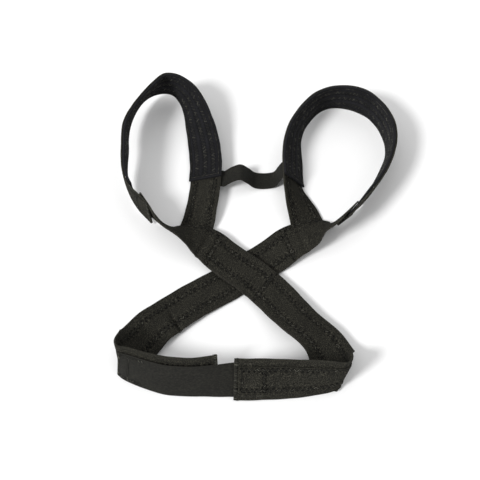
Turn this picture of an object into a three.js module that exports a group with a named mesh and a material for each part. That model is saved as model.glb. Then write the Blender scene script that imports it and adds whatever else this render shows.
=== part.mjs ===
import * as THREE from 'three';

// A figure-eight posture corrector of sewn webbing, lying open on a flat surface with the faces
// that touch the wearer turned up or inward. Seen from above, the shoulder loops point to +Y,
// the waist belt closes the -Y end, and left and right are those of the viewer.

// Plan size: the routes below are shares of these two halves.
const halfWidth = 176;
const halfLength = 228;

const crossWidth = 48;
const crossThickness = 2;
const shoulderWidth = 40;
const shoulderThickness = 2;
const padWidth = 42;
const padThickness = 3;
const stayWidth = 30;
const stayThickness = 1.2;
const elasticWidth = 40;
const elasticThickness = 1.6;
const neckWidth = 25;
const neckThickness = 1.6;
const tabEndWidth = 35;
const patchThickness = 1.2;
const patchMargin = 4;

// Cloth layers that are sewn or hooked together keep this much air between them.
const layerGap = 0.3;

// How far the neck strap reaches in under the edge of each shoulder strap, and how high its waves are.
const neckOverlap = 9;
const neckWave = 24;

// Stations along a strap from one row of its table to the next.
const stepsPerRow = 3;

const up = new THREE.Vector3(0, 0, 1);

// Each row of a route is one place along a strap: the middle of its width in plan, its roll
// (0 stands on its lower edge, 90 lies with the wearer's face up, 180 stands on its other edge),
// and how far its lower edge is off the surface, as a share of the strap's width.
const loopRowsLeft = [
  { x: -0.423, y: -0.012, roll: 90, rise: 0 },
  { x: -0.404, y: 0.03, roll: 86, rise: 0 },
  { x: -0.378, y: 0.12, roll: 75, rise: 0 },
  { x: -0.361, y: 0.23, roll: 72, rise: 0 },
  { marks: ['neck seam', 'pad start'], x: -0.352, y: 0.33, roll: 72, rise: 0 },
  { x: -0.348, y: 0.45, roll: 71, rise: 0 },
  { x: -0.364, y: 0.58, roll: 66, rise: 0 },
  { x: -0.395, y: 0.7, roll: 52, rise: 0.03 },
  { x: -0.43, y: 0.8, roll: 33, rise: 0.1 },
  { x: -0.478, y: 0.88, roll: 19, rise: 0.17 },
  { x: -0.54, y: 0.937, roll: 5, rise: 0.23 },
  { x: -0.6, y: 0.965, roll: -6, rise: 0.28 },
  { x: -0.682, y: 0.967, roll: -14, rise: 0.32 },
  { x: -0.775, y: 0.903, roll: -25, rise: 0.38 },
  { x: -0.85, y: 0.795, roll: -22, rise: 0.4 },
  { x: -0.9, y: 0.675, roll: -13, rise: 0.4 },
  { x: -0.923, y: 0.57, roll: -2, rise: 0.4 },
  { x: -0.921, y: 0.495, roll: 2, rise: 0.4 },
  { x: -0.92, y: 0.41, roll: 0, rise: 0.37 },
  { x: -0.916, y: 0.32, roll: 1, rise: 0.3 },
  { x: -0.893, y: 0.24, roll: 6, rise: 0.22 },
  { marks: ['pad end'], x: -0.855, y: 0.175, roll: 9, rise: 0.15 },
  { marks: ['tab start'], x: -0.795, y: 0.112, roll: 5, rise: 0.1 },
  { marks: ['tab end'], x: -0.717, y: 0.04, roll: 5, rise: 0.1 },
];

const loopRowsRight = [
  { x: 0.355, y: 0.02, roll: 90, rise: 0 },
  { x: 0.338, y: 0.056, roll: 86, rise: 0 },
  { x: 0.302, y: 0.13, roll: 68, rise: 0 },
  { x: 0.268, y: 0.21, roll: 48, rise: 0 },
  { marks: ['pad start'], x: 0.248, y: 0.29, roll: 36, rise: 0 },
  { marks: ['neck seam'], x: 0.244, y: 0.355, roll: 34, rise: 0 },
  { x: 0.245, y: 0.44, roll: 34, rise: 0 },
  { x: 0.25, y: 0.53, roll: 27, rise: 0.03 },
  { x: 0.268, y: 0.62, roll: 16, rise: 0.07 },
  { x: 0.32, y: 0.72, roll: 5, rise: 0.1 },
  { x: 0.397, y: 0.812, roll: 0, rise: 0.1 },
  { x: 0.487, y: 0.875, roll: -6, rise: 0.1 },
  { x: 0.592, y: 0.899, roll: -6, rise: 0.1 },
  { x: 0.697, y: 0.887, roll: -2, rise: 0.1 },
  { x: 0.785, y: 0.856, roll: 2, rise: 0.1 },
  { x: 0.862, y: 0.798, roll: 2, rise: 0.1 },
  { x: 0.925, y: 0.708, roll: 5, rise: 0.1 },
  { x: 0.96, y: 0.6, roll: 8, rise: 0.1 },
  { x: 0.955, y: 0.495, roll: 10, rise: 0.1 },
  { x: 0.917, y: 0.397, roll: 15, rise: 0.1 },
  { x: 0.872, y: 0.312, roll: 17, rise: 0.1 },
  { x: 0.814, y: 0.229, roll: 18, rise: 0.1 },
  { marks: ['pad end'], x: 0.737, y: 0.144, roll: 19, rise: 0.1 },
  { marks: ['tab start'], x: 0.662, y: 0.076, roll: 23, rise: 0.1 },
  { marks: ['tab end'], x: 0.58, y: 0.003, roll: 27, rise: 0.1 },
];

const crossRowsLeft = [
  { x: -0.648, y: -0.018, roll: 30, rise: 0.01 },
  { x: -0.575, y: -0.045, roll: 40, rise: 0.03 },
  { x: -0.51, y: -0.055, roll: 52, rise: 0.06 },
  { x: -0.445, y: -0.068, roll: 65, rise: 0.1 },
  { x: -0.377, y: -0.088, roll: 77, rise: 0.14 },
  { x: -0.305, y: -0.133, roll: 86, rise: 0.19 },
  { x: -0.215, y: -0.195, roll: 90, rise: 0.12 },
  { x: -0.078, y: -0.28, roll: 90, rise: 0.12 },
  { marks: ['stay start'], x: 0.045, y: -0.37, roll: 90, rise: 0.12 },
  { x: 0.115, y: -0.438, roll: 90, rise: 0.16 },
  { x: 0.18, y: -0.522, roll: 86, rise: 0.2 },
  { x: 0.289, y: -0.623, roll: 78, rise: 0.2 },
  { x: 0.35, y: -0.668, roll: 78, rise: 0.2 },
  { x: 0.398, y: -0.71, roll: 83, rise: 0.2 },
  { x: 0.428, y: -0.748, roll: 89, rise: 0.18 },
  { x: 0.45, y: -0.79, roll: 99, rise: 0.15 },
  { x: 0.467, y: -0.836, roll: 112, rise: 0.11 },
  { x: 0.491, y: -0.878, roll: 128, rise: 0.07 },
  { x: 0.514, y: -0.905, roll: 150, rise: 0.03 },
  { x: 0.514, y: -0.921, roll: 173, rise: 0 },
  { x: 0.476, y: -0.932, roll: 187, rise: 0 },
  { x: 0.36, y: -0.938, roll: 197, rise: 0 },
  { x: 0.185, y: -0.94, roll: 208, rise: 0 },
  { marks: ['belt seam'], x: 0.02, y: -0.94, roll: 214, rise: 0 },
  { x: -0.07, y: -0.94, roll: 215, rise: 0 },
  { x: -0.15, y: -0.938, roll: 215, rise: 0 },
];

const crossRowsRight = [
  { x: 0.515, y: -0.022, roll: 38, rise: 0.03 },
  { x: 0.475, y: -0.022, roll: 47, rise: 0.02 },
  { x: 0.43, y: -0.025, roll: 58, rise: 0.07 },
  { x: 0.373, y: -0.038, roll: 72, rise: 0.1 },
  { x: 0.305, y: -0.066, roll: 82, rise: 0.14 },
  { x: 0.22, y: -0.103, roll: 88, rise: 0.18 },
  { x: 0.124, y: -0.157, roll: 90, rise: 0.06 },
  { x: 0.03, y: -0.205, roll: 90, rise: 0 },
  { x: -0.081, y: -0.262, roll: 90, rise: 0 },
  { x: -0.182, y: -0.324, roll: 90, rise: 0.02 },
  { x: -0.285, y: -0.381, roll: 89, rise: 0.03 },
  { x: -0.419, y: -0.452, roll: 88, rise: 0.05 },
  { marks: ['stay start'], x: -0.525, y: -0.518, roll: 89, rise: 0.09 },
  { x: -0.6, y: -0.575, roll: 92, rise: 0.13 },
  { x: -0.665, y: -0.624, roll: 95, rise: 0.14 },
  { x: -0.712, y: -0.678, roll: 99, rise: 0.11 },
  { x: -0.749, y: -0.73, roll: 111, rise: 0.08 },
  { x: -0.79, y: -0.772, roll: 128, rise: 0.05 },
  { marks: ['stay end'], x: -0.83, y: -0.798, roll: 150, rise: 0.02 },
  { x: -0.855, y: -0.818, roll: 172, rise: 0 },
  { marks: ['elastic start'], x: -0.847, y: -0.842, roll: 188, rise: 0 },
  { x: -0.79, y: -0.864, roll: 194, rise: 0 },
  { marks: ['elastic seam'], x: -0.712, y: -0.886, roll: 197, rise: 0 },
  { x: -0.633, y: -0.905, roll: 197, rise: 0 },
  { x: -0.517, y: -0.921, roll: 196, rise: 0 },
  { x: -0.409, y: -0.926, roll: 196, rise: 0 },
  { x: -0.321, y: -0.92, roll: 199, rise: 0 },
  { x: -0.245, y: -0.91, roll: 202, rise: 0 },
];

// The stretch of the elastic that stands free in front of the right cross strap.
const elasticRows = [
  { x: -0.64, y: -0.924, roll: 198, rise: 0 },
  { x: -0.534, y: -0.942, roll: 200, rise: 0 },
  { x: -0.41, y: -0.948, roll: 200, rise: 0 },
  { x: -0.3, y: -0.946, roll: 202, rise: 0 },
];

// The neck strap's waves: where along the way from shoulder strap to shoulder strap, and how high.
const neckRows = [
  { along: 0.12, height: 0.72 },
  { along: 0.25, height: 0.86 },
  { along: 0.37, height: 0.55 },
  { along: 0.47, height: 0.22 },
  { along: 0.58, height: 0.08 },
  { along: 0.71, height: 0.06 },
  { along: 0.8, height: 0.16 },
  { along: 0.86, height: 0.5 },
  { along: 0.93, height: 0.84 },
];

// Stations of a route: the middle of the strap and the direction from its lower edge to its upper one.
// hand is 1 where the wearer is on the left of the direction of travel and -1 on the right.
function stationsOf(rows, size, hand) {
  const plan = smoothCurve(rows.map(({ x, y }) => new THREE.Vector3(x * halfWidth, y * halfLength, 0)));
  const stance = smoothCurve(rows.map(({ roll, rise }) => new THREE.Vector3(roll, rise * size.width, 0)));
  const count = (rows.length - 1) * stepsPerRow;
  return Array.from({ length: count + 1 }, (_, step) => {
    const middle = plan.getPoint(step / count);
    const heading = plan.getTangent(step / count);
    const { x: roll, y: lift } = stance.getPoint(step / count);
    const lean = THREE.MathUtils.degToRad(roll);
    const across = new THREE.Vector3(heading.y, -heading.x, 0).multiplyScalar(hand * Math.sin(lean));
    across.addScaledVector(up, Math.cos(lean));
    const half = (size.width * Math.abs(Math.cos(lean)) + size.thickness * Math.abs(Math.sin(lean))) / 2;
    return { middle: middle.setZ(Math.max(lift, 0) + half), across };
  });
}

// The marked rows of a route, as places along the strap's stations.
function placesOf(rows, skipped) {
  const marked = rows.flatMap(({ marks = [] }, index) => (
    marks.map((mark) => [mark, skipped + index * stepsPerRow])
  ));
  return Object.fromEntries(marked);
}

function smoothCurve(points) {
  return new THREE.CatmullRomCurve3(points, false, 'catmullrom', 0.5);
}

// A strap through its stations, with a way to ask where it lies at any place along it.
class Strap {
  constructor(stations, size, hand, places = {}) {
    this.size = size;
    this.hand = hand;
    this.places = places;
    this.last = stations.length - 1;
    this.middles = smoothCurve(stations.map((station) => station.middle));
    this.acrosses = smoothCurve(stations.map((station) => station.across));
    this.shares = stations.map(({ share = 1 }) => share);
  }

  // The middle at a place, with the directions along, across and towards the wearer, and the share of
  // the full width there.
  frame(place) {
    const middle = this.middles.getPoint(place / this.last);
    const along = this.middles.getTangent(place / this.last);
    const across = this.acrosses.getPoint(place / this.last);
    across.addScaledVector(along, -across.dot(along)).normalize();
    const wearer = new THREE.Vector3().crossVectors(across, along).multiplyScalar(this.hand);
    const share = this.shares[Math.floor(place)];
    return { middle, along, across, wearer, share };
  }

  // Every station from one place to another.
  steps(from = 0, to = this.last) {
    return Array.from({ length: to - from + 1 }, (_, step) => from + step);
  }

  // The same strap's frames, moved towards the wearer and across.
  moved(places, towardsWearer, upwards = 0) {
    return places.map((place) => {
      const frame = this.frame(place);
      frame.middle.addScaledVector(frame.wearer, towardsWearer).addScaledVector(frame.across, upwards);
      return frame;
    });
  }
}

// A closed band through a list of frames. Its flat section can have its corners cut back, or an extra
// line along each broad face where the edges of a narrower layer lie on it.
function bandGeometry(frames, { width, thickness, corner = 0, under = 0 }) {
  const w = width / 2;
  const t = thickness / 2;
  const lines = under ? [under / 2, -under / 2] : [];
  const faces = [w - corner, ...lines, corner - w];
  const edge = corner ? [t - corner, corner - t] : [];
  const section = [
    ...edge.map((n) => [w, -n]),
    ...faces.map((a) => [a, t]),
    ...edge.map((n) => [-w, n]),
    ...faces.map((a) => [-a, -t]),
  ];
  const positions = [];
  for (const { middle, along, across, share } of frames) {
    const normal = new THREE.Vector3().crossVectors(across, along);
    for (const [a, n] of section) {
      positions.push(...middle.clone().addScaledVector(across, a * share).addScaledVector(normal, n));
    }
  }
  const count = section.length;
  const index = [];
  for (let ring = 0; ring < frames.length - 1; ring += 1) {
    for (let side = 0; side < count; side += 1) {
      const turned = (side + 1) % count;
      const here = ring * count + side;
      const next = ring * count + turned;
      // Both broad faces are split along the same diagonal, so that twisted layers stay parallel.
      if (section[turned][0] > section[side][0]) {
        index.push(here, here + count, next + count, here, next + count, next);
      } else {
        index.push(here, here + count, next, next, here + count, next + count);
      }
    }
  }
  const end = (frames.length - 1) * count;
  for (let side = 1; side < count - 1; side += 1) {
    index.push(0, side, side + 1);
    index.push(end, end + side + 1, end + side);
  }
  const geometry = new THREE.BufferGeometry();
  geometry.setAttribute('position', new THREE.Float32BufferAttribute(positions, 3));
  geometry.setIndex(index);
  geometry.computeVertexNormals();
  return geometry;
}

const corrector = new THREE.Group();

function addPiece(name, frames, size, cloth) {
  const material = new THREE.MeshStandardMaterial({ roughness: 0.9, metalness: 0, ...cloth });
  const piece = new THREE.Mesh(bandGeometry(frames, size), material);
  piece.name = name;
  corrector.add(piece);
}

const webbing = { color: 0x2f2e2a };
const lining = { color: 0x222225, roughness: 0.95 };
const elastic = { color: 0x383733 };
const hook = { color: 0x26262a };

const cross = { width: crossWidth, thickness: crossThickness, under: stayWidth };
const shoulder = { width: shoulderWidth, thickness: shoulderThickness };
const pad = { width: padWidth, thickness: padThickness, corner: padThickness / 3 };
const stay = { width: stayWidth, thickness: stayThickness };
const belt = { width: elasticWidth, thickness: elasticThickness };
const neck = { width: neckWidth, thickness: neckThickness };
const armPatch = { width: shoulderWidth - 2 * patchMargin, thickness: patchThickness };
const beltPatch = { width: elasticWidth - 2 * patchMargin, thickness: patchThickness };

// Middle to middle distance of two layers that lie on each other.
function layered(one, other) {
  return one.thickness / 2 + layerGap + other.thickness / 2;
}

// One side of the harness: shoulder strap with its pad, the fastening patch inside its tab, and the
// cross strap that starts in the tab and ends at the waist, with its stay band.
function addSide(side, hand, loopRows, crossRows) {
  const loop = new Strap(stationsOf(loopRows, shoulder, hand), shoulder, hand, placesOf(loopRows, 0));
  addPiece(`shoulder_strap_${side}`, loop.moved(loop.steps(), 0), shoulder, webbing);

  const lined = loop.steps(loop.places['pad start'], loop.places['pad end']);
  addPiece(`shoulder_pad_${side}`, loop.moved(lined, layered(shoulder, pad)), pad, lining);

  const tabStart = loop.places['tab start'];
  const tabEnd = loop.places['tab end'];
  const tab = [tabStart, (tabStart + tabEnd) / 2, tabEnd];
  const hooked = [tabStart, (tabStart + tabEnd) / 2, tabEnd - 0.5];
  addPiece(`arm_hook_patch_${side}`, loop.moved(hooked, layered(shoulder, armPatch)), armPatch, hook);

  const inTab = loop.moved(tab, layered(shoulder, armPatch) + layered(armPatch, cross));
  inTab.forEach((station) => { station.share = tabEndWidth / crossWidth; });
  const stations = [...inTab, ...stationsOf(crossRows, cross, hand)];
  const strap = new Strap(stations, cross, hand, placesOf(crossRows, inTab.length));
  addPiece(`cross_strap_${side}`, strap.moved(strap.steps(), 0), cross, webbing);

  const stayed = strap.steps(strap.places['stay start'], strap.places['stay end'] ?? strap.last - 1);
  addPiece(`stay_band_${side}`, strap.moved(stayed, -layered(cross, stay)), stay, webbing);
  return { loop, strap };
}

const left = addSide('left', 1, loopRowsLeft, crossRowsLeft);
const right = addSide('right', -1, loopRowsRight, crossRowsRight);

// Slides each frame along its width until its lower edge is on the surface.
function standing(frames, size) {
  for (const { middle, across, wearer } of frames) {
    const height = (size.width * Math.abs(across.z) + size.thickness * Math.abs(wearer.z)) / 2;
    middle.addScaledVector(across, (height - middle.z) / across.z);
  }
  return frames;
}

// The elastic: sewn on the left corner, free along the front, hooked inside the other belt end.
const corner = right.strap.steps(right.strap.places['elastic start'], right.strap.places['elastic seam']);
const sewn = standing(right.strap.moved(corner, -layered(cross, belt)), belt);
const overlap = left.strap.steps(left.strap.places['belt seam'], left.strap.last).reverse();
const overPatch = layered(cross, beltPatch) + layered(beltPatch, belt);
const hooked = standing(left.strap.moved(overlap, overPatch), belt);
const elasticStrap = new Strap([...sewn, ...stationsOf(elasticRows, belt, -1), ...hooked], belt, -1);
addPiece('belt_elastic', elasticStrap.moved(elasticStrap.steps(), 0), belt, elastic);
const patched = left.strap.moved([...overlap].reverse(), layered(cross, beltPatch));
addPiece('belt_hook_patch', patched, beltPatch, hook);

// Where the neck strap lies on the outer face of a shoulder strap: its end, the place across the strap
// where it comes off, and the place where it can turn.
function neckSeat(loop, comesOff) {
  const { middle, along, across, wearer } = loop.frame(loop.places['neck seam']);
  const station = (reach, outward) => ({
    middle: middle.clone().addScaledVector(across, reach).addScaledVector(wearer, -outward),
    across: along,
  });
  const sewn = layered(shoulder, neck);
  return [
    station(comesOff - neckOverlap, sewn),
    station(comesOff, sewn),
    station(comesOff + 2 * neckThickness, sewn + neckThickness),
  ];
}

const leftSeat = neckSeat(left.loop, shoulderWidth / 2);
const rightSeat = neckSeat(right.loop, 0);
const waves = neckRows.map(({ along, height }) => ({
  middle: leftSeat[2].middle.clone().lerp(rightSeat[2].middle, along).setZ(height * neckWave),
  across: leftSeat[2].across.clone().lerp(rightSeat[2].across, along),
}));
const neckStrap = new Strap([...leftSeat, ...waves, ...rightSeat.reverse()], neck, -1);
const neckSteps = Array.from({ length: neckStrap.last * 2 + 1 }, (_, step) => step / 2);
addPiece('neck_strap', neckStrap.moved(neckSteps, 0), neck, elastic);

const box = new THREE.Box3().setFromObject(corrector);
corrector.position.set(-(box.min.x + box.max.x) / 2, -(box.min.y + box.max.y) / 2, -box.min.z);

export default corrector;
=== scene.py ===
import math

import bpy
import numpy as np
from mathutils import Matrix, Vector


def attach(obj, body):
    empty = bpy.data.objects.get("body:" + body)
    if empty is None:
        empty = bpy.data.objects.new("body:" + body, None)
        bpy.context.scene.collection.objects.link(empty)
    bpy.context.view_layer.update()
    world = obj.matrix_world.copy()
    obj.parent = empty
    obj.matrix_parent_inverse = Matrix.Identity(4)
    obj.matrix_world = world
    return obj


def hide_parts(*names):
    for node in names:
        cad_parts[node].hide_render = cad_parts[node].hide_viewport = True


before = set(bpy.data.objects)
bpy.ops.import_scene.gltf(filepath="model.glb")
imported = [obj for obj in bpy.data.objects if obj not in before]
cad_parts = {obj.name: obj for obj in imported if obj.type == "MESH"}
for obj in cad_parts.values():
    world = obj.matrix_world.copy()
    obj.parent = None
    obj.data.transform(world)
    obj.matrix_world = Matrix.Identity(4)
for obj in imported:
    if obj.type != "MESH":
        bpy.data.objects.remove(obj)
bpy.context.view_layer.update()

# The shape's own measures, in metres. Plan size: the routes are shares of the two halves.
body = {"halfWidth": 0.176, "halfLength": 0.228, "stepsPerRow": 3, "finePerStation": 12, "layerGap": 0.0003,
        "origin": (-0.00447, 0.00124, 0.00009)}

# Camera of the photograph: in front of the waist belt and above it.
camera = {"elevation": 52.0, "distance": 1.3, "lens": 82.63, "centre": (-0.02447, -0.01076, 0.00009)}


def addCamera():
    lens = bpy.data.cameras.new("photoCamera")
    lens.lens = camera["lens"]
    lens.sensor_width = 36
    holder = bpy.data.objects.new("photoCamera", lens)
    bpy.context.scene.collection.objects.link(holder)
    tilt = math.radians(camera["elevation"])
    back = Vector((0, -math.cos(tilt), math.sin(tilt)))
    holder.location = Vector(camera["centre"]) + back * camera["distance"]
    holder.rotation_euler = (math.pi / 2 - tilt, 0, 0)
    bpy.context.scene.camera = holder


addCamera()
print("camera placed")

# Routes: middle of the strap in plan as shares of the two halves, roll in degrees, and the rise of
# the lower edge as a share of the strap's width.
loopRowsLeft = [
    (-0.423, -0.012, 90, 0), (-0.404, 0.03, 86, 0), (-0.378, 0.12, 75, 0), (-0.361, 0.23, 72, 0),
    (-0.352, 0.33, 72, 0), (-0.348, 0.45, 71, 0), (-0.364, 0.58, 66, 0), (-0.395, 0.7, 52, 0.03),
    (-0.43, 0.8, 33, 0.1), (-0.478, 0.88, 19, 0.17), (-0.54, 0.937, 5, 0.23), (-0.6, 0.965, -6, 0.28),
    (-0.682, 0.967, -14, 0.32), (-0.775, 0.903, -25, 0.38), (-0.85, 0.795, -22, 0.4),
    (-0.9, 0.675, -13, 0.4), (-0.923, 0.57, -2, 0.4), (-0.921, 0.495, 2, 0.4), (-0.92, 0.41, 0, 0.37),
    (-0.916, 0.32, 1, 0.3), (-0.893, 0.24, 6, 0.22), (-0.855, 0.175, 9, 0.15), (-0.795, 0.112, 5, 0.1),
    (-0.717, 0.04, 5, 0.1),
]
loopRowsRight = [
    (0.355, 0.02, 90, 0), (0.338, 0.056, 86, 0), (0.302, 0.13, 68, 0), (0.268, 0.21, 48, 0),
    (0.248, 0.29, 36, 0), (0.244, 0.355, 34, 0), (0.245, 0.44, 34, 0), (0.25, 0.53, 27, 0.03),
    (0.268, 0.62, 16, 0.07), (0.32, 0.72, 5, 0.1), (0.397, 0.812, 0, 0.1), (0.487, 0.875, -6, 0.1),
    (0.592, 0.899, -6, 0.1), (0.697, 0.887, -2, 0.1), (0.785, 0.856, 2, 0.1), (0.862, 0.798, 2, 0.1),
    (0.925, 0.708, 5, 0.1), (0.96, 0.6, 8, 0.1), (0.955, 0.495, 10, 0.1), (0.917, 0.397, 15, 0.1),
    (0.872, 0.312, 17, 0.1), (0.814, 0.229, 18, 0.1), (0.737, 0.144, 19, 0.1), (0.662, 0.076, 23, 0.1),
    (0.58, 0.003, 27, 0.1),
]
crossRowsLeft = [
    (-0.648, -0.018, 30, 0.01), (-0.575, -0.045, 40, 0.03), (-0.51, -0.055, 52, 0.06),
    (-0.445, -0.068, 65, 0.1), (-0.377, -0.088, 77, 0.14), (-0.305, -0.133, 86, 0.19),
    (-0.215, -0.195, 90, 0.12), (-0.078, -0.28, 90, 0.12), (0.045, -0.37, 90, 0.12),
    (0.115, -0.438, 90, 0.16), (0.18, -0.522, 86, 0.2), (0.289, -0.623, 78, 0.2),
    (0.35, -0.668, 78, 0.2), (0.398, -0.71, 83, 0.2), (0.428, -0.748, 89, 0.18),
    (0.45, -0.79, 99, 0.15), (0.467, -0.836, 112, 0.11), (0.491, -0.878, 128, 0.07),
    (0.514, -0.905, 150, 0.03), (0.514, -0.921, 173, 0), (0.476, -0.932, 187, 0),
    (0.36, -0.938, 197, 0), (0.185, -0.94, 208, 0), (0.02, -0.94, 214, 0), (-0.07, -0.94, 215, 0),
    (-0.15, -0.938, 215, 0),
]
crossRowsRight = [
    (0.515, -0.022, 38, 0.03), (0.475, -0.022, 47, 0.02), (0.43, -0.025, 58, 0.07),
    (0.373, -0.038, 72, 0.1), (0.305, -0.066, 82, 0.14), (0.22, -0.103, 88, 0.18),
    (0.124, -0.157, 90, 0.06), (0.03, -0.205, 90, 0), (-0.081, -0.262, 90, 0),
    (-0.182, -0.324, 90, 0.02), (-0.285, -0.381, 89, 0.03), (-0.419, -0.452, 88, 0.05),
    (-0.525, -0.518, 89, 0.09), (-0.6, -0.575, 92, 0.13), (-0.665, -0.624, 95, 0.14),
    (-0.712, -0.678, 99, 0.11), (-0.749, -0.73, 111, 0.08), (-0.79, -0.772, 128, 0.05),
    (-0.83, -0.798, 150, 0.02), (-0.855, -0.818, 172, 0), (-0.847, -0.842, 188, 0),
    (-0.79, -0.864, 194, 0), (-0.712, -0.886, 197, 0), (-0.633, -0.905, 197, 0),
    (-0.517, -0.921, 196, 0), (-0.409, -0.926, 196, 0), (-0.321, -0.92, 199, 0),
    (-0.245, -0.91, 202, 0),
]
elasticRows = [
    (-0.64, -0.924, 198, 0), (-0.534, -0.942, 200, 0), (-0.41, -0.948, 200, 0), (-0.3, -0.946, 202, 0),
]
# The neck strap between its ends: how far it is from left to right, and its height as a share of its wave.
neckRows = [
    (0.12, 0.72), (0.25, 0.86), (0.37, 0.55), (0.47, 0.22), (0.58, 0.08), (0.71, 0.06), (0.8, 0.16),
    (0.86, 0.5), (0.93, 0.84),
]

cross = {"width": 0.048, "thickness": 0.002, "tabEnd": 0.035, "softened": 5}
shoulder = {"width": 0.04, "thickness": 0.002}
pad = {"width": 0.042, "thickness": 0.003}
stay = {"width": 0.03, "thickness": 0.0012}
belt = {"width": 0.04, "thickness": 0.0016}
neck = {"width": 0.025, "thickness": 0.0016}
armPatch = {"width": 0.032, "thickness": 0.0012}
beltPatch = {"width": 0.032, "thickness": 0.0012}


# Materials.
class Value:  # one socket of a node tree, with the arithmetic that is used on it
    def __init__(self, cloth, socket):
        self.cloth = cloth
        self.socket = socket

    def maths(self, operation, *values):
        return self.cloth.node("ShaderNodeMath", {"operation": operation}, dict(enumerate(values))).value(0)

    def __add__(self, other):
        return self.maths("ADD", self, other)

    def __radd__(self, other):
        return self.maths("ADD", other, self)

    def __sub__(self, other):
        return self.maths("SUBTRACT", self, other)

    def __rsub__(self, other):
        return self.maths("SUBTRACT", other, self)

    def __mul__(self, other):
        return self.maths("MULTIPLY", self, other)

    def __rmul__(self, other):
        return self.maths("MULTIPLY", other, self)

    def __truediv__(self, other):
        return self.maths("DIVIDE", self, other)

    def sine(self):
        return self.maths("SINE", self)

    def size(self):
        return self.maths("ABSOLUTE", self)

    def whole(self):
        return self.maths("FLOOR", self)

    def step(self, low, high):  # 0 below low, 1 above high, smooth between
        settings = {"interpolation_type": "SMOOTHSTEP"}
        return self.cloth.node("ShaderNodeMapRange", settings, {0: self, 1: low, 2: high}).value(0)


class Cloth:  # a material with its nodes
    def __init__(self, name):
        self.material = bpy.data.materials.new(name)
        self.material.use_nodes = True
        self.tree = self.material.node_tree
        self.shader = self.tree.nodes["Principled BSDF"]

    def node(self, kind, settings=None, inputs=None):
        made = self.tree.nodes.new(kind)
        for name, setting in (settings or {}).items():
            setattr(made, name, setting)
        for name, given in (inputs or {}).items():
            self.feed(made.inputs[name], given)
        return Made(self, made)

    def feed(self, socket, given):
        if isinstance(given, Value):
            self.tree.links.new(given.socket, socket)
        else:
            socket.default_value = given

    def place(self):  # along and across the cloth in metres, and how near the edge
        vector = self.node("ShaderNodeAttribute", {"attribute_name": "clothPlace"}).value("Vector")
        parts = self.node("ShaderNodeSeparateXYZ", {}, {0: vector})
        return vector, parts.value(0), parts.value(1), parts.value(2)

    def holeShade(self):  # 1 at the needle holes, where painted shade darkens the colour
        return self.node("ShaderNodeAttribute", {"attribute_name": "holeShade"}).value("Fac")

    def noise(self, vector, scale, detail=3.0, roughness=0.55, stretch=(1, 1, 1)):
        placed = self.node("ShaderNodeVectorMath", {"operation": "MULTIPLY"}, {0: vector, 1: stretch})
        inputs = {"Vector": placed.value(0), "Scale": scale, "Detail": detail, "Roughness": roughness}
        return self.node("ShaderNodeTexNoise", {}, inputs).value("Fac")

    def mix(self, share, first, second):
        settings = {"data_type": "RGBA"}
        return self.node("ShaderNodeMix", settings, {0: share, 6: first, 7: second}).value(2)

    def finish(self, colour, roughness, height, distance, fixed):
        bump = self.node("ShaderNodeBump", {}, {"Height": height, "Distance": distance, "Strength": 1.0})
        self.feed(self.shader.inputs["Base Color"], colour)
        self.feed(self.shader.inputs["Roughness"], roughness)
        self.feed(self.shader.inputs["Normal"], bump.value(0))
        for name, amount in fixed.items():
            self.shader.inputs[name].default_value = amount
        return self.material


class Made:  # a node that has been made
    def __init__(self, cloth, node):
        self.cloth = cloth
        self.node = node

    def value(self, name):
        return Value(self.cloth, self.node.outputs[name])


def tone(red, green, blue):  # a screen colour, 0 to 255, as the light that a shader takes
    shares = [level / 255 for level in (red, green, blue)]
    light = [share / 12.92 if share <= 0.04045 else ((share + 0.055) / 1.055) ** 2.4 for share in shares]
    return (*light, 1)


# hole is painted shade: the colour that the needle holes are darkened to.
webbingFinish = {"dark": tone(22, 22, 20), "light": tone(70, 68, 60), "edge": tone(60, 59, 53),
                 "hole": tone(5, 5, 5), "rib": 0.0011, "column": 0.0016, "relief": 0.00028, "gloss": 0.06,
                 # blotch sets the size of broad patches painted as light and shade of gentle folds.
                 "yarn": (980, 1150, 1), "blotch": (40, 90, 1)}


def makeWebbing():
    cloth = Cloth("webbing")
    vector, along, across, nearEdge = cloth.place()
    column = across / webbingFinish["column"]
    turn = column.whole() * math.pi
    rib = (along * (2 * math.pi / webbingFinish["rib"]) + turn).sine() * 0.5 + 0.5
    ridge = (column * math.pi).sine().size()
    yarn = cloth.noise(vector, 1, 1.0, 0.5, webbingFinish["yarn"])
    blotch = cloth.noise(vector, 1, 3.0, 0.5, webbingFinish["blotch"])
    height = rib * 0.55 + ridge * 0.35 + yarn * 0.35
    # The blotch noise paints broad lighter and darker patches: painted light and shade standing in for
    # gentle folds.
    shade = yarn.step(0.36, 0.8) * 0.75 + blotch * 0.2 + rib * ridge * 0.2 - 0.1
    colour = cloth.mix(shade.step(0.0, 1.0), webbingFinish["dark"], webbingFinish["light"])
    # Lighter towards the edges, speckled by the yarn noise.
    paleEdge = nearEdge.step(0.94, 1.0) * (0.2 + yarn * 0.4)
    colour = cloth.mix(paleEdge, colour, webbingFinish["edge"])
    # Painted shade: the needle holes darkened towards the hole colour.
    colour = cloth.mix(cloth.holeShade() * 1.8, colour, webbingFinish["hole"])
    roughness = 0.84 + yarn * 0.14
    fixed = {"Specular IOR Level": webbingFinish["gloss"]}
    return cloth.finish(colour, roughness, height, webbingFinish["relief"], fixed)


# hole is painted shade: the colour that the needle holes are darkened to.
liningFinish = {"dark": tone(11, 11, 12), "light": tone(38, 38, 42), "hole": tone(5, 5, 5), "loop": 0.0012,
                "relief": 0.0003, "gloss": 0.12, "sheen": 0.02, "nap": (900, 900, 1), "rubbed": (60, 110, 1)}


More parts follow.
